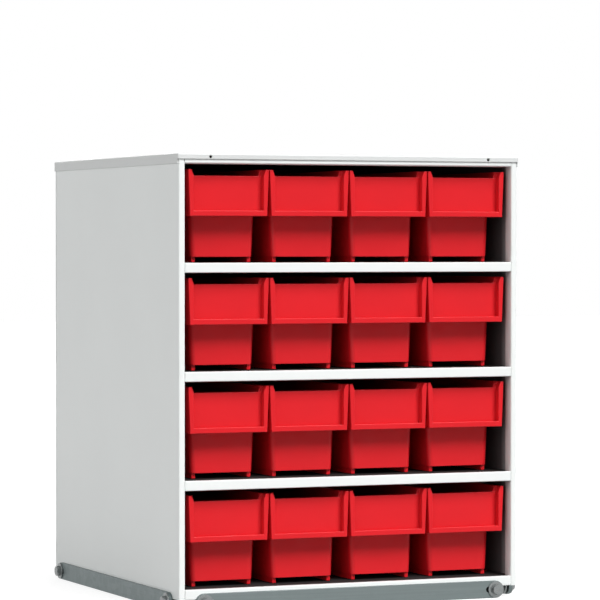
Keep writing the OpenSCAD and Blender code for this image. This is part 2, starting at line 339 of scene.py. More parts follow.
def folded_outline(path: np.ndarray, thickness: float, outer_r: float, steps: int = 5) -> np.ndarray:
    """Edge view of a sheet folded squarely along the points of its middle line.

    A bend is two quarter circles, centre + radius * (cos t * e0 + sin t * e1), where e0 and
    e1 point from the centre to its start and end.

    Args:
        path: n by 2 points of the middle line, with right angles between its runs.
        thickness: the sheet's thickness.
        outer_r: outer radius of the bends.
        steps: flats in each quarter circle.

    Returns:
        The closed outline, k by 2.
    """
    runs = np.diff(path, axis=0)
    runs = runs / np.linalg.norm(runs, axis=1)[:, None]
    left_of = np.stack([-runs[:, 1], runs[:, 0]], axis=1)
    middle_r = outer_r - thickness / 2
    t = np.linspace(0, np.pi / 2, steps + 1)[:, None]
    aside = left_of * thickness / 2
    left, right = [path[:1] + aside[:1]], [path[:1] - aside[:1]]
    for k in range(1, len(path) - 1):
        u, v = runs[k - 1], runs[k]
        side = np.sign(u[0] * v[1] - u[1] * v[0])
        centre = path[k] - u * middle_r + side * left_of[k - 1] * middle_r
        e0, e1 = -side * left_of[k - 1], -side * left_of[k]
        bend = np.cos(t) * e0 + np.sin(t) * e1
        left.append(centre + bend * (middle_r - side * thickness / 2))
        right.append(centre + bend * (middle_r + side * thickness / 2))
    right.append(path[-1:] - aside[-1:])
    return np.concatenate([*left, path[-1:] + aside[-1:], np.concatenate(right)[::-1]])


@dataclass
class Contour:
    """Rings round a bin or a lid, all with the same number of points.

    A ring goes round anticlockwise from the right side's front end. Each long side has two
    points at the step and one at the grip, which never lie in front of the front corner's end.

    Args:
        step_y: where an edge may change its height.
        grip_y: where the lower front's corner ends.
        steps: flats in each corner.
    """

    step_y: float
    grip_y: float
    steps: int = 6

    def ring(self, half: float, front: float, rear: float, front_r: float, rear_r: float) -> np.ndarray:
        """One ring as points in x and y.

        Args:
            half: half width.
            front: y of the front.
            rear: y of the rear.
            front_r: radius of the front corners.
            rear_r: radius of the rear corners.

        Returns:
            The ring, n by 2.
        """
        back, n = front + front_r, self.steps
        ys = np.maximum([self.step_y, self.step_y, self.grip_y], back)
        right = np.concatenate([
            arc((half - front_r, back), front_r, 270, 360, n),
            np.column_stack([np.full(3, half), ys]),
            arc((half - rear_r, rear - rear_r), rear_r, 0, 90, n),
        ])
        return np.roll(both_sides(right), -(n + 1), axis=0)

    def front_points(self) -> np.ndarray:
        """Picks a ring's points that lie on the front, up to the step.

        Returns:
            True for each of them and False for the others.
        """
        in_side, in_corner = 3, self.steps + 1
        flags = np.zeros(2 * in_side + 4 * in_corner, bool)
        flags[0] = True
        flags[2 * in_side + 2 * in_corner - 1:] = True
        return flags


# Finishes


@dataclass
class Nodes:
    """A node tree under construction.

    Args:
        tree: the tree of a material or of the world.
    """

    tree: bpy.types.NodeTree

    def put(self, socket: Socket, value: object) -> None:
        """Links a pattern to a socket, or sets the socket to a constant.

        Args:
            socket: the socket.
            value: the pattern or constant.
        """
        if isinstance(value, Socket):
            self.tree.links.new(value, socket)
        else:
            socket.default_value = value

    def add(self, kind: str, inputs: dict, output: "str | int" = 0, **settings: str) -> Socket:
        """Adds a node.

        Args:
            kind: its type.
            inputs: patterns or constants by the names or numbers of its sockets.
            output: name or number of the output that is wanted.
            settings: the node's own settings.

        Returns:
            The output.
        """
        node = self.tree.nodes.new(kind)
        for name, value in settings.items():
            setattr(node, name, value)
        for name, value in inputs.items():
            self.put(node.inputs[name], value)
        return node.outputs[output]

    def math(self, operation: str, first: Socket, second: "Socket | float" = 0.0) -> Socket:
        """One step of arithmetic on a pattern."""
        return self.add("ShaderNodeMath", {0: first, 1: second}, operation=operation)

    def direct_view(self) -> Socket:
        """Tells the camera's view from other light.

        Returns:
            1 for what the camera sees, also in a mirror or through glass, and otherwise 0.
        """
        path = self.tree.nodes.new("ShaderNodeLightPath").outputs
        mirrored = self.math("MAXIMUM", path["Is Camera Ray"], path["Is Glossy Ray"])
        return self.math("MAXIMUM", mirrored, path["Is Transmission Ray"])


class Shader(Nodes):
    """A material under construction, whose patterns all read the piece's own coordinates."""

    def __init__(self, name: str) -> None:
        """Makes a material with a Principled shader.

        Args:
            name: its name.
        """
        self.material = bpy.data.materials.new(name)
        self.material.use_nodes = True
        super().__init__(self.material.node_tree)
        self.surface = self.tree.nodes["Principled BSDF"]
        self.place = self.add("ShaderNodeTexCoord", {}, "Object")

    def dressed(self, sockets: dict[str, object]) -> bpy.types.Material:
        """Sets the surface's sockets.

        Args:
            sockets: constants and patterns by the sockets' names.

        Returns:
            The material.
        """
        for name, value in sockets.items():
            self.put(self.surface.inputs[name], value)
        return self.material

    def noise(self, scale: float, detail: float, stretch: Triple = (1.0, 1.0, 1.0)) -> Socket:
        """Soft noise, about 1 / scale metres across, whose coordinates are multiplied by stretch."""
        place = self.add("ShaderNodeMapping", {"Vector": self.place, "Scale": stretch})
        return self.add("ShaderNodeTexNoise", {"Scale": scale, "Detail": detail, "Vector": place}, "Fac")

    def ranged(self, value: Socket, low: float, high: float, spread: Pair = (0.3, 0.7)) -> Socket:
        """Carries the part of a pattern's values given by spread over to low and high."""
        ends = {"From Min": spread[0], "From Max": spread[1], "To Min": low, "To Max": high}
        return self.add("ShaderNodeMapRange", {"Value": value, **ends})

    def blended(self, factor: Socket, first: object, second: object) -> Socket:
        """A colour between first and second, which are colours or patterns."""
        ends = [end if isinstance(end, Socket) else (*end, 1.0) for end in (first, second)]
        # Sockets 6 and 7 and output 2 are the node's colours
        return self.add("ShaderNodeMix", {0: factor, 6: ends[0], 7: ends[1]}, 2, data_type="RGBA")

    def clouded(self, pattern: Socket, colour: Triple, shades: Pair) -> Socket:
        """A colour that a pattern makes darker and lighter by the shares in shades."""
        ends = [tuple(min(1.0, c * share) for c in colour) for share in shades]
        return self.blended(self.ranged(pattern, 0.0, 1.0), *ends)

    def bumped(self, height: Socket, strength: float, depth_mm: float, **under: Socket) -> Socket:
        """A relief that is depth_mm deep, laid over another one if that is given as Normal."""
        return self.add("ShaderNodeBump", {"Height": height, "Strength": strength,
                                           "Distance": depth_mm * MM, **under})


@dataclass(frozen=True)
class Finish:
    """What a surface is made of.

    Args:
        name: the material's name.
        colour: its linear colour.
        roughness: its lowest and highest roughness.
        shades: shares of the colour that it drifts between.
        mirror: its specular level.
    """

    name: str
    colour: Triple
    roughness: Pair
    shades: Pair
    mirror: float = 0.5


@dataclass(frozen=True)
class PowderCoat(Finish):
    """Baked powder paint on sheet steel: a fine orange peel under a satin gloss.

    Inside the casing, behind the front edges, the coat turns darker: painted shade.

    Args:
        under: linear colour of the painted shade inside.
        inside_mm: half width and depth of the inside, where the painted shade shows.
        levels_mm: its lowest and highest z, within the sheets of the base and the lid.
        fade_mm: where along the depth the painted shade starts and ends to fade in.
        peel_mm: width of the peel's bumps.
        shade_roughness: roughness where the shade is painted inside.
    """

    roughness: Pair = (0.405, 0.44)
    shades: Pair = (0.988, 1.012)
    mirror: float = 0.45
    under: Triple = (0.08, 0.072, 0.073)
    inside_mm: Pair = (198.0, 200.5)
    levels_mm: Pair = (22.5, 482.8)
    fade_mm: Pair = (-200.0, -165.0)
    peel_mm: float = 1.3
    shade_roughness: float = 0.8

    def painted_shade_share(self, s: Shader) -> Socket:
        """Finds how much painted shade darkens the coat.

        Args:
            s: the material under construction.

        Returns:
            0 on the outside, and 0 to 1 on the inside from the front edges to the fade's end.
        """
        across, along, up = (s.add("ShaderNodeSeparateXYZ", {0: s.place}, axis) for axis in range(3))
        width, depth, low, high = (v * MM for v in (*self.inside_mm, *self.levels_mm))
        shade_share = s.ranged(along, 0.0, 1.0, tuple(v * MM for v in self.fade_mm))
        for test, value, limit in (("LESS_THAN", s.math("ABSOLUTE", across), width),
                                   ("LESS_THAN", along, depth), ("LESS_THAN", up, high),
                                   ("GREATER_THAN", up, low)):
            shade_share = s.math("MULTIPLY", shade_share, s.math(test, value, limit))
        return shade_share

    def material(self) -> bpy.types.Material:
        """Makes the paint.

        Returns:
            Its material.
        """
        s = Shader(self.name)
        shade_share = self.painted_shade_share(s)
        coat = s.clouded(s.noise(scale=7.0, detail=3.0), self.colour, self.shades)
        gloss = s.ranged(s.noise(scale=60.0, detail=4.0), *self.roughness)
        peel = s.bumped(s.noise(1000 / self.peel_mm, detail=1.0), strength=0.12, depth_mm=0.05)
        waves = s.noise(scale=2.5, detail=1.0)
        # Inside the casing the coat blends into the under colour, a painted shade, and turns rougher
        # there
        return s.dressed({"Base Color": s.blended(shade_share, coat, self.under),
                          "Roughness": s.math("MAXIMUM", gloss, s.math("MULTIPLY", shade_share, self.shade_roughness)),
                          "Normal": s.bumped(waves, strength=0.1, depth_mm=0.4, Normal=peel),
                          "Specular IOR Level": self.mirror})


@dataclass(frozen=True)
class MouldedPlastic(Finish):
    """Moulded coloured plastic: even colour, a fine grain and faint flow marks.

    Args:
        grain_mm: width of the mould's grain.
        flow: how the flow marks are stretched along x, y and z.
    """

    roughness: Pair = (0.31, 0.42)
    shades: Pair = (0.97, 1.02)
    mirror: float = 0.22
    grain_mm: float = 0.5
    flow: Triple = (1.0, 0.35, 1.6)

    def material(self) -> bpy.types.Material:
        """Makes the plastic.

        Returns:
            Its material.
        """
        s = Shader(self.name)
        marks = s.noise(scale=18.0, detail=2.0, stretch=self.flow)
        gloss = s.noise(scale=90.0, detail=3.0)
        grain = s.bumped(s.noise(1000 / self.grain_mm, detail=2.0), strength=0.15, depth_mm=0.03)
        waves = s.noise(scale=12.0, detail=1.0)
        return s.dressed({"Base Color": s.clouded(marks, self.colour, self.shades),
                          "Roughness": s.ranged(gloss, *self.roughness),
                          "Normal": s.bumped(waves, strength=0.25, depth_mm=0.25, Normal=grain),
                          "Specular IOR Level": self.mirror})


@dataclass(frozen=True)
class ZincPlate(Finish):
    """Dull zinc plating on steel: a grey metal with a faint grain along the piece and small cells.

    Args:
        metal: how much of it looks like bare metal.
        grain: how often the grain repeats along x, y and z, in lines a metre.
    """

    roughness: Pair = (0.39, 0.53)
    shades: Pair = (0.94, 1.05)
    metal: float = 0.75
    grain: Triple = (900.0, 900.0, 900.0)

    def material(self) -> bpy.types.Material:
        """Makes the plating.

        Returns:
            Its material.
        """
        s = Shader(self.name)
        lines = s.noise(scale=1.0, detail=3.0, stretch=self.grain)
        cells = s.add("ShaderNodeTexVoronoi", {"Scale": 160.0, "Vector": s.place}, "Color")
        return s.dressed({"Base Color": s.clouded(lines, self.colour, self.shades),
                          "Metallic": self.metal, "Specular IOR Level": self.mirror,
                          "Roughness": s.ranged(cells, *self.roughness, (0.0, 1.0)),
                          "Normal": s.bumped(lines, strength=0.12, depth_mm=0.05)})


# Behind its front edges the casing's inside darkens to the under colour: painted shade
PAINT = PowderCoat("casing_white", (0.825, 0.85, 0.84))
# The shelves' tops behind their lips darken almost to black: painted shade
SHELF_PAINT = PowderCoat("shelf_white", PAINT.colour, under=(0.02, 0.018, 0.018),
                         fade_mm=(-199.5, -194.0), mirror=0.12)
LID_PAINT = PowderCoat("lid_grey_white", (0.66, 0.675, 0.67))
RED = MouldedPlastic("bin_red", (0.685, 0.0125, 0.019))
# The side bars' zinc is a darker copy of the front and rear bars' zinc: painted shade
BAR_ZINC_X = ZincPlate("bar_zinc_front", (0.16, 0.192, 0.192), grain=(12.0, 700.0, 700.0))
BAR_ZINC_Y_SHADED = ZincPlate("bar_zinc_side_shaded", (0.138, 0.168, 0.169), grain=(700.0, 12.0, 700.0))
BRIGHT_ZINC = ZincPlate("fastener_zinc", (0.22, 0.235, 0.235), roughness=(0.24, 0.38))


@cache
def material_of(finish: Finish) -> bpy.types.Material:
    """The finish's material, made the first time it is asked for."""
    return finish.material()


def piece(form: Form, node: str, finish: Finish, body: str) -> None:
    """Writes one piece that stands for a node of the frame.

    Args:
        form: its closed surfaces, in place, in millimetres.
        node: the node that it stands for.
        finish: what it is made of.
        body: the body that it rides on.
    """
    mesh = mesh_of(form, node + "_look", MM)
    mesh.validate()
    mesh.shade_smooth()
    mesh.set_sharp_from_angle(angle=SMOOTH_BELOW)
    mesh.materials.append(material_of(finish))
    obj = placed(node + "_look", mesh)
    even = obj.modifiers.new("even_shading", "WEIGHTED_NORMAL")
    even.weight = LARGE_FACES_LEAD
    even.keep_sharp = True
    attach(obj, body)
    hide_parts(node)
    LOG.info("%s: %d points, %d faces", obj.name, len(mesh.vertices), len(mesh.polygons))


def node_box(node: str) -> tuple[np.ndarray, np.ndarray]:
    """A node's lowest and highest corner in millimetres."""
    low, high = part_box(node)
    return np.array(low) / MM, np.array(high) / MM


# The bins


@dataclass
class Bin:
    """One moulded bin, drawn with its middle at x = 0, its front at y = 0 and its runners at z = 0.

    Args:
        width: width over the rim.
        length: length from the label front to the rim's rear edge.
        height: height from the runners to the rim.
        body_w: width of the body just under the rim.
        foot_w: width of the body at its runners.
    """

    width: float
    length: float
    height: float
    body_w: float = 80.0
    foot_w: float = 70.0
    wall: float = 2.0
    floor: float = 2.0
    corner_r: float = 6.0
    runner_h: float = 6.0
    runner_w: float = 4.5
    runner_inset: float = 1.0
    runner_setback: float = 3.0
    rim_drop: float = 5.0
    rim_t: float = 1.8
    rim_gap: float = 1.0
    rim_r: float = 2.5
    label_low: float = 49.0
    label_high: float = 92.0
    label_w: float = 88.0
    field_w: float = 80.0
    recess: float = 7.0
    tip_w: float = 3.5
    cheek_d: float = 14.0
    lip_h: float = 6.0
    lip_t: float = 2.0
    grip: float = 20.0
    shy: float = 0.1
    step: float = 0.5
    hidden: float = 0.4
    overlap: float = 1.0
    edge_r: float = 0.55
    plate_r: float = 0.7
    slight_r: float = 0.8
    tight_r: float = 0.4
    rim_steps: int = 5

    @property
    def rear(self) -> float:
        """y of the body's rear wall."""
        return self.length - self.rim_t - self.rim_gap

    def half(self, z: float) -> float:
        """Half width of the leaning body at a height."""
        return (self.foot_w + (self.body_w - self.foot_w) * z / self.height) / 2

    def tub(self) -> Form:
        """Floor and walls: rings up the outside, over the top edge and down the inside.

        The lower front is set back, so a level ring joins it to the label's wall. That wall
        ends inside the label plate. The sides and the rear go on up to the rim.

        Returns:
            The form.
        """
        shape = Contour(step_y=self.recess + self.wall + self.step, grip_y=self.grip + self.corner_r)
        top = np.where(shape.front_points(), self.label_high - self.wall, self.height)

        def ring(inset: float, z: float, front: float, front_r: float,
                 levels: "np.ndarray | None" = None) -> Level:
            """A ring that lies inwards of the outside by inset, with z or its points' levels."""
            sides = self.half(z) - inset, front, self.rear - inset
            return shape.ring(*sides, front_r, self.corner_r - inset), z if levels is None else levels

        t, low, ledge, high, r = self.wall, self.runner_h, self.label_low, self.height, self.corner_r
        plate, behind = self.recess + self.hidden, self.recess + t - self.hidden
        rings = stacked([
            ring(0, low, self.grip, r),
            ring(0, ledge, self.grip, r),
            ring(0, ledge, plate, self.slight_r),
            ring(0, high, plate, self.slight_r, top),
            ring(t, high, behind, self.tight_r, top),
            ring(t, ledge + self.floor, behind, self.tight_r),
            ring(t, ledge + self.floor, self.grip + t, r - t),
            ring(t, low + self.floor, self.grip + t, r - t),
        ])
        return rounded(loft(rings), self.edge_r)

    def rim(self) -> Form:
        """The turned-out and turned-down rim along both sides and round the rear.

        Each point of the rim's edge view is carried round a U whose half width, rear and
        corner radius are that point's own.

        Returns:
            The form.
        """
        t, top, low, tight = self.rim_t, self.height, self.height - self.rim_drop, self.tight_r
        out_x, out_y = self.width / 2, self.length
        in_x, in_y = self.half(top) - self.wall / 2, self.rear - self.wall / 2
        start = self.cheek_d - self.overlap
        edge_view = [
            (in_x, in_y, top - t, tight), (out_x - t, out_y - t, top - t, self.rim_r - t),
            (out_x - t, out_y - t, low, self.rim_r - t), (out_x, out_y, low, self.rim_r),
            (out_x, out_y, top, self.rim_r), (in_x, in_y, top - self.shy, tight),
        ]

        def u_path(x: float, y: float, z: float, r: float) -> Level:
            """A U round the rear, of half width x, rear y and corner radius r, with its z."""
            right = np.concatenate([[[x, start]], arc((x - r, y - r), r, 0, 90, self.rim_steps)])
            return both_sides(right), z

        paths = stacked([u_path(*point) for point in edge_view])
        return rounded(loft(paths.transpose(1, 0, 2)), self.edge_r)

    def label_front(self) -> Form:
        """Lip, tray and label plate as one edge view carried from cheek to cheek.

        Returns:
            The form.
        """
        low, inside = self.label_low + self.shy, self.label_low + self.floor
        back = self.recess + self.wall
        end = self.cheek_d - self.overlap / 2
        view = np.array([
            [self.shy, low], [end, low], [end, inside], [back, inside], [back, self.label_high],
            [self.recess, self.label_high], [self.recess, inside], [self.lip_t, inside],
            [self.lip_t, self.label_low + self.lip_h], [self.shy, self.label_low + self.lip_h],
        ])
        reach = (self.field_w + self.label_w) / 4
        return rounded(prism(view, -reach, reach, Along.X), self.plate_r, 3)

    def cheek(self) -> Form:
        """The right cheek: a wedge beside the label field that is deeper behind the plate.

        Returns:
            The form.
        """
        field, low = self.field_w / 2, self.label_low
        out_low, out_top, top = self.label_w / 2, self.width / 2, self.height
        in_low, in_top = self.half(low) - self.wall / 2, self.half(top) - self.wall / 2
        front = np.array([[field, low], [out_low, low], [out_top, top], [out_top - self.tip_w, top],
                          [field, self.label_high]])
        behind = np.array([[in_low, low], [out_low, low], [out_top, top], [in_top, top],
                           [in_low, self.label_high]])
        middle = self.recess + self.wall / 2
        rings = np.stack([np.insert(view, 1, y, axis=1) for view, y in (
            (front, 0.0), (front, middle), (behind, middle), (behind, self.cheek_d))])
        return rounded(loft(rings), self.plate_r, 3)

    def runner(self) -> Form:
        """The right runner under the floor.

        Returns:
            The form.
        """
        middle = self.foot_w / 2 - self.runner_inset - self.runner_w / 2
        low = (middle - self.runner_w / 2, self.grip + self.runner_setback, 0)
        high = (middle + self.runner_w / 2, self.rear - self.runner_setback,
                self.runner_h + self.floor / 2)
        return rounded(block(low, high), self.slight_r)

    def form(self) -> Form:
        """The whole bin."""
        sides = [self.cheek(), self.runner()]
        return joined([self.tub(), self.rim(), self.label_front(), *sides,
                       *(side.mirrored() for side in sides)])


@dataclass
class BinSet:
    """The bins in their tiers, each a body under its node's name."""

    tiers: int = 4
    columns: int = 4

    def build(self) -> None:
        """Draws one bin and sets a copy of it at each bin's node."""
        low, high = node_box("bin_1_1")
        form = Bin(*(high - low)).form()
        for tier in range(1, self.tiers + 1):
            for column in range(1, self.columns + 1):
                node = f"bin_{tier}_{column}"
                low, high = node_box(node)
                place = form.moved((low[0] + high[0]) / 2, low[1], low[2])
                piece(place, node, RED, node)


# The casing


@dataclass
class Casing:
    """Panels, lid, rail and shelves of folded sheet."""

    shelves: int = 3
    sheet: float = 1.2
    bend_r: float = 1.8
    flange: float = 7.0
    return_d: float = 14.0
    rear_flange: float = 14.0
    lip_h: float = 10.5
    flange_h: float = 9.0
    front_skirt: float = 6.0
    lid_corner_r: float = 2.0
    hole_d: float = 3.6
    hole_drop: float = 3.6
    hole_gap: float = 326.0
    hole_points: int = 24
    seat: float = 0.3
    edge_r: float = 0.25
    cut_r: float = 0.2
    flange_r: float = 0.3
    lip_r: float = 1.0
    tight_r: float = 0.4
    bend_steps: int = 5

    def coat(self, form: Form, node: str, finish: PowderCoat = PAINT) -> None:
        """Writes a painted piece of the casing."""
        piece(form, node, finish, CASING)

    def side_panels(self) -> None:
        """Both side panels: one edge view seen from above, carried up, and its mirror image."""
        low, high = node_box("left_side_panel")
        t = self.sheet / 2
        back = high[1] - t
        view = folded_outline(np.array([
            [low[0] + self.flange - t, low[1] + self.return_d], [low[0] + self.flange - t, low[1] + t],
            [low[0] + t, low[1] + t], [low[0] + t, back], [low[0] + self.rear_flange, back],
        ]), self.sheet, self.bend_r)
        panel = rounded(prism(view, low[2], high[2], Along.Z), self.edge_r)
        self.coat(panel, "left_side_panel")
        self.coat(panel.mirrored(), "right_side_panel")

    def back_panel(self) -> None:
        """The flat back."""
        self.coat(rounded(block(*node_box("back_panel")), self.edge_r), "back_panel")

    def holes(self) -> list[Form]:
        """Makes what drills the lid's front skirt and the rail behind it.

        Returns:
            Two round bars.
        """
        low, high = node_box("top_lid")
        n, reach = self.hole_points, 4 * self.sheet
        circle = arc((0.0, high[2] - self.hole_drop), self.hole_d / 2, 0, 360 - 360 / n, n - 1)
        drill = prism(circle, low[1] - reach, low[1] + reach, Along.Y)
        return [drill.moved(side * self.hole_gap / 2) for side in (-1, 1)]

    def lid(self) -> None:
        """The cap: rings from its inside face down, out under the skirt and up over the top edge.

        The skirt's lower edge is higher at the front, so the ring's front points have a
        height of their own there.
        """
        low, high = node_box("top_lid")
        half, front, rear, top = high[0], low[1], high[1], high[2]
        corner, t = self.lid_corner_r, self.sheet
        shape = Contour(step_y=front + corner, grip_y=front + corner, steps=self.bend_steps)
        skirt = np.where(shape.front_points(), top - self.front_skirt, low[2])

        def ring(inset: float, z: "float | np.ndarray") -> Level:
            """A ring that lies inwards of the outline by inset, with its height."""
            r = max(corner - inset, self.tight_r)
            return shape.ring(half - inset, front + inset, rear - inset, r, r), z

        over = [ring(self.bend_r * (1 - math.cos(a)), top - self.bend_r * (1 - math.sin(a)))
                for a in np.linspace(0, math.pi / 2, self.bend_steps + 1)]
        rings = stacked([ring(t, top - t), ring(t, skirt), ring(0, skirt), *over])
        cap = rounded(loft(rings), self.cut_r, segments=1, over=60.0)
        self.coat(cut_out(cap, self.holes()), "top_lid", LID_PAINT)

    def rail(self) -> None:
        """The rail over the top tier, open to the rear, with the lid's holes."""
        low, high = node_box("top_front_rail")
        t = self.sheet / 2
        view = folded_outline(np.array([
            [high[1], high[2] - t], [low[1] + t, high[2] - t], [low[1] + t, low[2] + t],
            [high[1], low[2] + t],
        ]), self.sheet, self.bend_r)
        body = rounded(prism(view, low[0], high[0], Along.X), self.edge_r)
        self.coat(cut_out(body, self.holes()), "top_front_rail")

    def shelf(self, node: str, flange_h: float) -> None:
        """A shelf or the base: a plate with a hemmed lip in front and flanges round it.

        Args:
            node: the node that it stands for.
            flange_h: depth of the side and rear flanges.
        """
        low, high = node_box(node)
        front, t = low[1], self.sheet
        side, back, top = high
        lip_x = side - self.flange + t
        rear_x = side + t - self.rear_flange - self.seat
        notch, seat_y = front + self.return_d + self.seat, back - t - self.seat
        edge = np.array([[lip_x, front + t], [lip_x, notch], [side, notch], [side, seat_y],
                         [rear_x, seat_y], [rear_x, back]])
        plate = prism(both_sides(edge), top - t, top, Along.Z)
        lip = block((-lip_x, front, top - self.lip_h), (lip_x, front + 2 * t, top))
        flanges = [block((x, notch, top - flange_h), (x + t, seat_y, top - t / 2))
                   for x in (-side, side - t)]
        flanges.append(block((-rear_x, back - t, top - flange_h), (rear_x, back, top - t / 2)))
        parts = [rounded(plate, self.cut_r, 1), rounded(lip, self.lip_r, 4)]
        parts += [rounded(flange, self.flange_r) for flange in flanges]
        self.coat(joined(parts), node, SHELF_PAINT)

    def build(self) -> None:
        """Makes every sheet piece."""
        self.side_panels()
        self.back_panel()
        self.lid()
        self.rail()
        for number in range(1, self.shelves + 1):
            self.shelf(f"shelf_{number}", self.flange_h)
        self.shelf("base_panel", self.lip_h)


# The bars and what holds them


@dataclass
class Fixings:
    """Clamping bars, their bolts, washers and nuts, and the back panel's rivets."""

    travel: float = 8.5
    play: float = 0.6
    thread_play: float = 0.05
    bar_r: float = 0.6
    bar_steps: int = 20
    bolt_d: float = 6.0
    flats: float = 10.0
    head_h: float = 4.0
    nut_h: float = 5.0
    nut_bevel: float = 0.6
    nut_trim: float = 0.93
    washer_d: float = 18.0
    washer_t: float = 1.6
    soft: float = 0.2
    bolt_end: float = 1.4
    sheet: float = 1.2
    rivet_d: float = 4.0
    rivet_head_d: float = 8.0
    rivet_set_d: float = 6.0
    rivet_head_h: float = 1.2
    rivet_rows: int = 4
    set_bevel: float = 0.5
    set_side: float = 0.4
    dome_end: float = 0.98
    dome_rings: int = 7
    around: int = 48

    @property
    def angle(self) -> np.ndarray:
        """The angles of a turned ring's points, 1 by n."""
        return np.linspace(0, 2 * np.pi, self.around, endpoint=False)[None, :]

    @property
    def over_corners(self) -> float:
        """Half the width of a bolt's head or a nut over its corners."""
        return self.flats / 2 / math.cos(math.pi / 6)

    def bar(self, span: float, height: float, depth: float) -> Form:
        """A flat bar along x with round ends and a slot at each bolt.

        Args:
            span: distance between the centres of its ends.
            height: its height, which is also the ends' diameter.
            depth: its thickness.

        Returns:
            The bar, which stands on z = 0 with its outer face at y = 0.
        """
        r, end, n = height / 2, span / 2, self.bar_steps
        slot_r = (self.bolt_d + self.play) / 2
        outline = np.concatenate([arc((end, r), r, -90, 90, n), arc((-end, r), r, 90, 270, n)])
        slot = np.concatenate([arc((end, r), slot_r, -90, 90, n // 2),
                               arc((end - self.travel, r), slot_r, 90, 270, n // 2)])
        cutter = prism(slot, -depth, 2 * depth, Along.Y)
        flat = rounded(prism(outline, 0, depth, Along.Y), self.bar_r)
        return cut_out(flat, [cutter, cutter.mirrored()])

    def turned_ring(self, radius: np.ndarray, height: np.ndarray) -> np.ndarray:
        """Rings round the y axis: radius and height may differ from point to point.

        A point at angle a is (radius cos a, height, radius sin a).

        Args:
            radius: m by n or m by 1.
            height: m by 1.

        Returns:
            The rings, m by n by 3.
        """
        radius = np.broadcast_to(radius, (len(height), self.around))
        return np.stack([radius * np.cos(self.angle), np.broadcast_to(height, radius.shape),
                         radius * np.sin(self.angle)], axis=-1)

    def hexagon(self, reach: np.ndarray) -> np.ndarray:
        """Finds the radius of a hexagon that a cone trims, flats / 2 / cos(angle from the flat).

        Args:
            reach: the cone's radius at each height, m by 1.

        Returns:
            The radius, m by n.
        """
        sixth = np.pi / 3
        flat = self.flats / 2 / np.cos((self.angle + sixth / 2) % sixth - sixth / 2)
        return np.minimum(flat, reach)

    def bolt(self, grip: float) -> Form:
        """A hexagon bolt along y: its seat is at y = 0 and its head is in front of that.

        Args:
            grip: what it clamps, from its seat to its nut.

        Returns:
            The bolt.
        """
        h = self.head_h
        # The head's rings, each with its y and its share of the width over the corners
        y, share = np.array([[-h, 0.86], [-h + 0.01, 0.9], [-h + 0.9, 1.0], [-0.2, 1.0], [0.0, 0.97]]).T
        head = loft(self.turned_ring(self.hexagon(share[:, None] * self.over_corners), y[:, None]))
        r, end = self.bolt_d / 2, grip + self.nut_h + self.bolt_end
        # The shank's rings, each with its y and its radius
        y, radius = np.array([[-0.5, r], [end - 0.8, r], [end, r - 0.7]]).T
        return joined([head, loft(self.turned_ring(radius[:, None], y[:, None]))])

    def collar(self, outer: float, depth: float, six: bool = False) -> Form:
        """A washer, or a nut if six is true, round the y axis with one face at y = 0.

        Args:
            outer: outer radius of a washer.
            depth: thickness.
            six: True for a nut.

        Returns:
            The collar.
        """
        bore = self.bolt_d / 2 + (self.thread_play if six else self.play / 2)
        soft = self.soft
        y = np.array([0, 0, soft, depth - soft, depth, depth, depth - soft, soft])[:, None]
        edge = np.array([bore + soft, outer - soft, outer, outer, outer - soft, bore + soft, bore, bore])
        radius = np.broadcast_to(edge[:, None], (len(y), self.around)).copy()
        if six:
            trim = np.array([self.nut_trim, 1.0, 1.0, self.nut_trim])[:, None]
            radius[1:5] = self.hexagon(trim * self.over_corners)
            y[1:5, 0] = [0, self.nut_bevel, depth - self.nut_bevel, depth]
        return loft(self.turned_ring(radius, y), ring_closes=True)

    def bar_sizes(self, node: str, along: int) -> tuple[float, float, float, float, float]:
        """Measures a bar.

        Args:
            node: its node.
            along: the axis along it.

        Returns:
            Its half length, height, thickness, outer face and lowest z, in millimetres.
        """
        low, high = node_box(node)
        across = 1 - along
        face = max(abs(low[across]), abs(high[across]))
        return high[along], high[2] - low[2], high[across] - low[across], face, low[2]

    def places(self) -> list[tuple[int, float, float, float]]:
        """Finds where the bolts are.

        Returns:
            Each one's turn in quarters, shift along its bar, and face and height, in millimetres.
        """
        found = []
        for quarters, node, along in BARS:
            half, height, _, face, low = self.bar_sizes(node, along)
            reach = half - height / 2
            found += [(quarters, side * reach, face, low + height / 2) for side in (-1, 1)]
        return found

    def everywhere(self, form: Form, depth: float) -> Form:
        """Copies a form to every bolt, with its y = 0 at a depth behind the bars' outer faces."""
        return joined(form.moved(shift, depth - face, z).turned(quarters)
                      for quarters, shift, face, z in self.places())

    def bars(self) -> float:
        """Makes the four bars.

        Returns:
            Their thickness.
        """
        for quarters, node, along in BARS:
            half, height, depth, face, low = self.bar_sizes(node, along)
            form = self.bar(2 * half - height, height, depth).moved(y=-face, z=low).turned(quarters)
            # The side bars take the darker zinc, which holds painted shade
            finish = BAR_ZINC_Y_SHADED if along else BAR_ZINC_X
            piece(form, node, finish, CASING)
        return depth

    def fasten(self, form: Form, node: str) -> None:
        """Writes a group of fasteners."""
        piece(form, node, BRIGHT_ZINC, CASING)

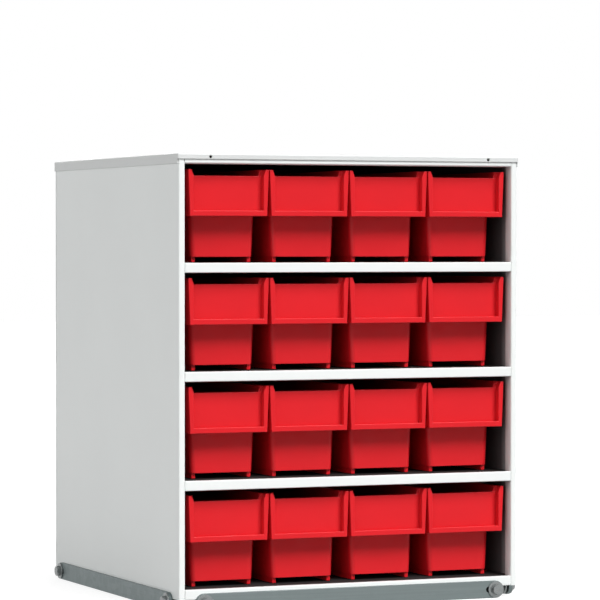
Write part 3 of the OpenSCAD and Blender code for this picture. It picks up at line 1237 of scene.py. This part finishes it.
    def rivets(self) -> None:
        """Makes the rivets: a domed head outside, a shank and a set end inside.

        The head's radius at height h is that of a shallow dome, R * sqrt(1 - (h / H)^2).
        """
        low, high = node_box("back_panel_rivets")
        inner = node_box("back_panel")[0][1]
        outer, back = inner + self.sheet, inner - self.sheet
        head_r, set_r, shank_r = self.rivet_head_d / 2, self.rivet_set_d / 2, self.rivet_d / 2
        end = back - self.rivet_head_h
        share = np.linspace(0, self.dome_end, self.dome_rings)
        radius = np.concatenate([[set_r - self.set_bevel, set_r, set_r, shank_r, shank_r],
                                 head_r * np.sqrt(1 - share ** 2)])
        y = np.concatenate([[end, end + self.set_side, back, back, outer],
                            outer + share * self.rivet_head_h])
        rivet = loft(self.turned_ring(radius[:, None], y[:, None]))
        x = high[0] - head_r
        heights = np.linspace(low[2] + head_r, high[2] - head_r, self.rivet_rows)
        self.fasten(joined(rivet.moved(side * x, 0, z) for side in (-1, 1) for z in heights),
                    "back_panel_rivets")

    def build(self) -> None:
        """Makes the bars and every fastener."""
        depth = self.bars()
        t, inside = self.washer_t, depth + 2 * self.sheet
        washer = self.collar(self.washer_d / 2, t)
        nut = self.collar(self.flats / 2, self.nut_h, six=True)
        for node, form, behind in (("bar_bolts", self.bolt(2 * t + inside), -t),
                                   ("bar_outer_washers", washer, -t),
                                   ("bar_inner_washers", washer, inside),
                                   ("bar_nuts", nut, inside + t)):
            self.fasten(self.everywhere(form, behind), node)
        self.rivets()


# Floor, light and camera


class Light(Enum):
    """A square soft lamp that hangs near, or an even light as from a large far window."""

    LAMP = "AREA"
    WINDOW = "SUN"


@dataclass
class Studio:
    """A pale floor, soft lights and the camera.

    Args:
        lens_mm: focal length on a sensor of sensor_mm.
        yaw: degrees that the camera is turned to the right of +Y.
        pitch: degrees that it looks down.
        middle: what the lights look at, in metres.
        ambient: strength of the light from all round.
        floor_half: half the floor's side, in metres.
        floor_glow: how white the floor looks beside the cabinet and further out.
        floor_fade: where that change starts and ends, in metres from the middle.
    """

    lens_mm: float = 193.8
    sensor_mm: float = 36.0
    camera_mm: Triple = (-1409.9, -3374.0, 387.2)
    yaw: float = 23.042
    pitch: float = 0.981
    middle: Triple = (0.0, 0.0, 0.24)
    ambient: float = 0.05
    floor_half: float = 12.0
    floor_colour: Triple = (0.3, 0.3, 0.3)
    floor_glow: Pair = (0.84, 1.0)
    floor_fade: Pair = (0.25, 1.0)

    def camera(self) -> None:
        """Sets the camera where the photograph was taken from."""
        data = bpy.data.cameras.new("camera")
        data.lens = self.lens_mm
        data.sensor_width = self.sensor_mm
        spot = tuple(v * MM for v in self.camera_mm)
        turn = (math.radians(90 - self.pitch), 0.0, math.radians(-self.yaw))
        bpy.context.scene.camera = placed("camera", data, spot, turn)

    def light(self, name: str, kind: Light, azimuth: float, elevation: float, power: float,
              width: float, distance: float = 0.0) -> None:
        """Adds a light that looks at the cabinet.

        Args:
            name: its name.
            kind: what kind of light it is.
            azimuth: degrees round the cabinet, 0 in front and 90 on the right.
            elevation: degrees above the floor.
            power: in watts, or a window's in watts a square metre.
            width: a lamp's side in metres, or a window's width in degrees.
            distance: a lamp's distance from the cabinet's middle, in metres.
        """
        data = bpy.data.lights.new(name, kind.value)
        data.energy = power
        if kind is Light.LAMP:
            data.size = width
        else:
            data.angle = math.radians(width)
        a, e = math.radians(azimuth), math.radians(elevation)
        away = np.array([math.sin(a) * math.cos(e), -math.cos(a) * math.cos(e), math.sin(e)])
        placed(name, data, np.array(self.middle) + away * distance, (math.radians(90) - e, 0.0, a))

    def world(self) -> None:
        """A white surround for what is seen or mirrored, and an even dim light for the rest."""
        world = bpy.data.worlds.new("surround")
        world.use_nodes = True
        nodes = Nodes(world.node_tree)
        dim = nodes.tree.nodes["Background"]
        dim.inputs["Color"].default_value = WHITE
        dim.inputs["Strength"].default_value = self.ambient
        white = nodes.add("ShaderNodeBackground", {"Color": WHITE, "Strength": 1.0})
        mix = nodes.add("ShaderNodeMixShader", {0: nodes.direct_view(), 1: dim.outputs[0], 2: white})
        nodes.put(nodes.tree.nodes["World Output"].inputs["Surface"], mix)
        bpy.context.scene.world = world

    def floor(self) -> None:
        """A wide pale floor that keeps the shadow near the cabinet and is white further out."""
        h = self.floor_half
        mesh = bpy.data.meshes.new("floor")
        mesh.from_pydata([(-h, -h, 0), (h, -h, 0), (h, h, 0), (-h, h, 0)], [], [(0, 1, 2, 3)])
        s = Shader("floor_pale")
        away = s.add("ShaderNodeVectorMath", {0: s.place}, "Value", operation="LENGTH")
        strength = s.ranged(away, *self.floor_glow, self.floor_fade)
        glow = s.add("ShaderNodeEmission", {"Strength": s.math("MULTIPLY", strength, s.direct_view())})
        paper = s.add("ShaderNodeBsdfDiffuse", {"Color": (*self.floor_colour, 1.0)})
        both = s.add("ShaderNodeAddShader", {0: paper, 1: glow})
        s.put(s.tree.nodes["Material Output"].inputs["Surface"], both)
        s.tree.nodes.remove(s.surface)
        mesh.materials.append(s.material)
        placed("floor", mesh)

    def build(self) -> None:
        """Sets up floor, light and camera.

        The key light comes from the right above the front and a weaker one from the front
        left. Low lamps light the left side and the rear.
        """
        self.floor()
        self.world()
        self.light("key", Light.WINDOW, azimuth=24.0, elevation=48.5, power=3.82, width=30.0)
        self.light("fill", Light.WINDOW, azimuth=-52.0, elevation=26.0, power=1.0, width=60.0)
        self.light("left", Light.LAMP, -92.0, elevation=8.0, power=138.0, width=2.4, distance=9.0)
        self.light("rear", Light.LAMP, 154.0, elevation=14.0, power=290.0, width=3.0, distance=7.0)
        self.camera()
        bpy.context.scene.view_settings.view_transform = "Standard"


def main() -> None:
    """Builds the cabinet's pieces in order, then the studio."""
    logging.basicConfig(level=logging.INFO, format="%(name)s: %(message)s")
    Casing().build()
    BinSet().build()
    Fixings().build()
    Studio().build()


if __name__ == "__main__":
    main()
